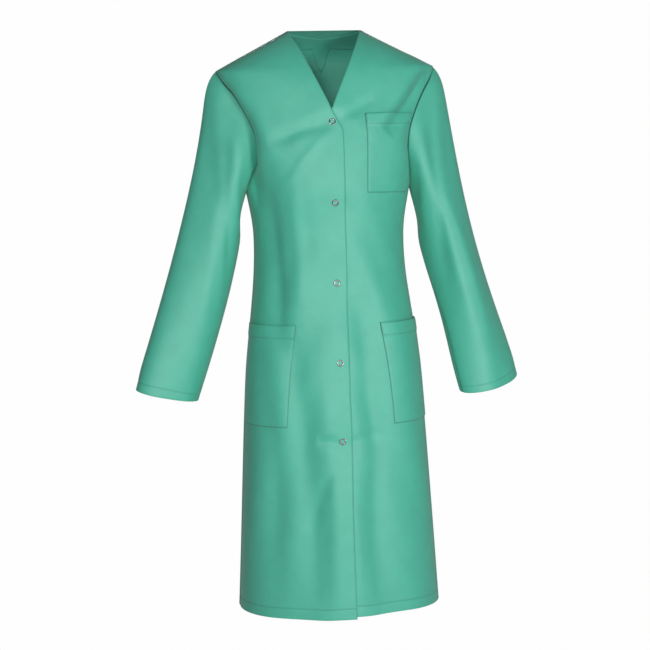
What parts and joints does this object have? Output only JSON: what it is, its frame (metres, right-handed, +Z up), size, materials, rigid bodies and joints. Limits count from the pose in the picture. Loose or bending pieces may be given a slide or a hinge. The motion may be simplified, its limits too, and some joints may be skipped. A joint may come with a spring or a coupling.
{
  "type": "lab coat",
  "caption": "Collarless V-neck lab coat with long set-in sleeves, patch pockets and a front closed by ring snap fasteners, held up under its shoulder seams.",
  "frame": {"origin": "on the centre plane, level with the neck ends of the shoulder seams, where a hanger or shoulders hold the coat up", "axes": "+Z up, the front faces -Y, +X is the wearer's left"},
  "size_m": [0.6716, 0.2733, 1.0204],
  "materials": {
    "green_cloth": "fine poly-cotton twill, matt with a faint sheen",
    "snap_steel": "bright nickel-plated pressed steel"
  },
  "bodies": {
    "coat_back": {"back_panel": "green_cloth", "back_neck_facing": "green_cloth"},
    "right_front_side": {"right_front": "green_cloth", "right_front_facing": "green_cloth", "right_pocket": "green_cloth", "snap_1_front_ring": "snap_steel", "snap_1_socket": "snap_steel", "snap_2_front_ring": "snap_steel", "snap_2_socket": "snap_steel", "snap_3_front_ring": "snap_steel", "snap_3_socket": "snap_steel", "snap_4_front_ring": "snap_steel", "snap_4_socket": "snap_steel", "snap_5_front_ring": "snap_steel", "snap_5_socket": "snap_steel"},
    "left_front_side": {"left_front": "green_cloth", "left_front_facing": "green_cloth", "left_pocket": "green_cloth", "chest_pocket": "green_cloth", "snap_1_stud": "snap_steel", "snap_1_back_ring": "snap_steel", "snap_2_stud": "snap_steel", "snap_2_back_ring": "snap_steel", "snap_3_stud": "snap_steel", "snap_3_back_ring": "snap_steel", "snap_4_stud": "snap_steel", "snap_4_back_ring": "snap_steel", "snap_5_stud": "snap_steel", "snap_5_back_ring": "snap_steel"},
    "right_arm": {"right_sleeve": "green_cloth"},
    "left_arm": {"left_sleeve": "green_cloth"}
  },
  "joints": [
    {"name": "right_front_swing", "type": "hinge", "parent": "coat_back", "child": "right_front_side", "pos_m": [-0.1, -0.09, -0.262], "axis": [0, 0, -1], "range_deg": [0, 40]},
    {"name": "left_front_swing", "type": "hinge", "parent": "coat_back", "child": "left_front_side", "pos_m": [0.1, -0.09, -0.262], "axis": [0, 0, 1], "range_deg": [0, 20]},
    {"name": "right_sleeve_lift", "type": "hinge", "parent": "coat_back", "child": "right_arm", "pos_m": [-0.193, 0, -0.067], "axis": [0, 1, 0], "range_deg": [0, 50]},
    {"name": "left_sleeve_lift", "type": "hinge", "parent": "coat_back", "child": "left_arm", "pos_m": [0.193, 0, -0.067], "axis": [0, -1, 0], "range_deg": [0, 50]}
  ],
  "couplings": [
    {"joint": "left_front_swing", "follows": "right_front_swing", "ratio": 0.5}
  ]
}
